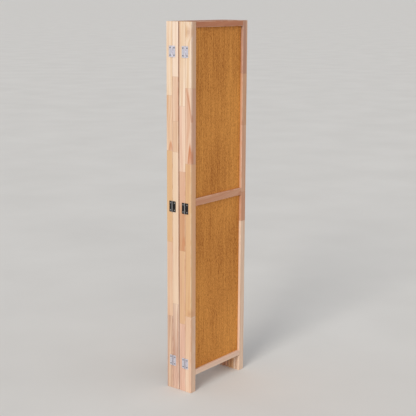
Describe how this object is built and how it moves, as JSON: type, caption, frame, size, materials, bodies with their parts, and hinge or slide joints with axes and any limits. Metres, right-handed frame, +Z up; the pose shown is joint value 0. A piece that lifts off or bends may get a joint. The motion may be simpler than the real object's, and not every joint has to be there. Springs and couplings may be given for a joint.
{
  "type": "folding room divider screen",
  "caption": "Folding room divider screen of framed timber panels with recessed veneered boards, joined by butt hinges in a zigzag and folded shut into a stack standing on its own legs.",
  "frame": {"origin": "middle of the folded stack, on the floor", "axes": "+X along a panel's width, +Y through the stack from the front panel to the rear one, +Z up"},
  "size_m": [0.4164, 0.143, 1.7],
  "materials": {
    "frame_timber": "satin",
    "infill_veneer": "satin",
    "dowel_wood": "matte",
    "zinc_hinge_steel": "satin",
    "black_hinge_steel": "satin",
    "screw_steel": "satin",
    "pin_steel": "satin"
  },
  "bodies": {
    "panel_1": {"hinge_1_2_bottom_leaf_1": "zinc_hinge_steel", "hinge_1_2_middle_leaf_1": "black_hinge_steel", "hinge_1_2_top_leaf_1": "zinc_hinge_steel", "panel_1_bottom_rail": "frame_timber", "panel_1_dowels": "dowel_wood", "panel_1_hinge_screws": "screw_steel", "panel_1_left_stile": "frame_timber", "panel_1_lower_infill": "infill_veneer", "panel_1_middle_rail": "frame_timber", "panel_1_right_stile": "frame_timber", "panel_1_top_rail": "frame_timber", "panel_1_upper_infill": "infill_veneer"},
    "panel_2": {"hinge_1_2_bottom_leaf_2": "zinc_hinge_steel", "hinge_1_2_middle_leaf_2": "black_hinge_steel", "hinge_1_2_pins": "pin_steel", "hinge_1_2_top_leaf_2": "zinc_hinge_steel", "hinge_2_3_bottom_leaf_2": "zinc_hinge_steel", "hinge_2_3_middle_leaf_2": "black_hinge_steel", "hinge_2_3_pins": "pin_steel", "hinge_2_3_top_leaf_2": "zinc_hinge_steel", "panel_2_bottom_rail": "frame_timber", "panel_2_dowels": "dowel_wood", "panel_2_hinge_screws": "screw_steel", "panel_2_left_stile": "frame_timber", "panel_2_lower_infill": "infill_veneer", "panel_2_middle_rail": "frame_timber", "panel_2_right_stile": "frame_timber", "panel_2_top_rail": "frame_timber", "panel_2_upper_infill": "infill_veneer"},
    "panel_3": {"hinge_2_3_bottom_leaf_3": "zinc_hinge_steel", "hinge_2_3_middle_leaf_3": "black_hinge_steel", "hinge_2_3_top_leaf_3": "zinc_hinge_steel", "hinge_3_4_bottom_leaf_3": "zinc_hinge_steel", "hinge_3_4_middle_leaf_3": "black_hinge_steel", "hinge_3_4_top_leaf_3": "zinc_hinge_steel", "panel_3_bottom_rail": "frame_timber", "panel_3_dowels": "dowel_wood", "panel_3_hinge_screws": "screw_steel", "panel_3_left_stile": "frame_timber", "panel_3_lower_infill": "infill_veneer", "panel_3_middle_rail": "frame_timber", "panel_3_right_stile": "frame_timber", "panel_3_top_rail": "frame_timber", "panel_3_upper_infill": "infill_veneer"},
    "panel_4": {"hinge_3_4_bottom_leaf_4": "zinc_hinge_steel", "hinge_3_4_middle_leaf_4": "black_hinge_steel", "hinge_3_4_pins": "pin_steel", "hinge_3_4_top_leaf_4": "zinc_hinge_steel", "panel_4_bottom_rail": "frame_timber", "panel_4_dowels": "dowel_wood", "panel_4_hinge_screws": "screw_steel", "panel_4_left_stile": "frame_timber", "panel_4_lower_infill": "infill_veneer", "panel_4_middle_rail": "frame_timber", "panel_4_right_stile": "frame_timber", "panel_4_top_rail": "frame_timber", "panel_4_upper_infill": "infill_veneer"}
  },
  "joints": [
    {"name": "hinge_3_4", "type": "hinge", "parent": "panel_3", "child": "panel_4", "pos_m": [-0.2056, -0.037, 0.875], "axis": [0, 0, -1], "range_deg": [0, 180]},
    {"name": "hinge_2_3", "type": "hinge", "parent": "panel_3", "child": "panel_2", "pos_m": [0.2056, 0, 0.875], "axis": [0, 0, -1], "range_deg": [0, 180]},
    {"name": "hinge_1_2", "type": "hinge", "parent": "panel_2", "child": "panel_1", "pos_m": [-0.2056, 0.037, 0.875], "axis": [0, 0, 1], "range_deg": [0, 180]}
  ]
}
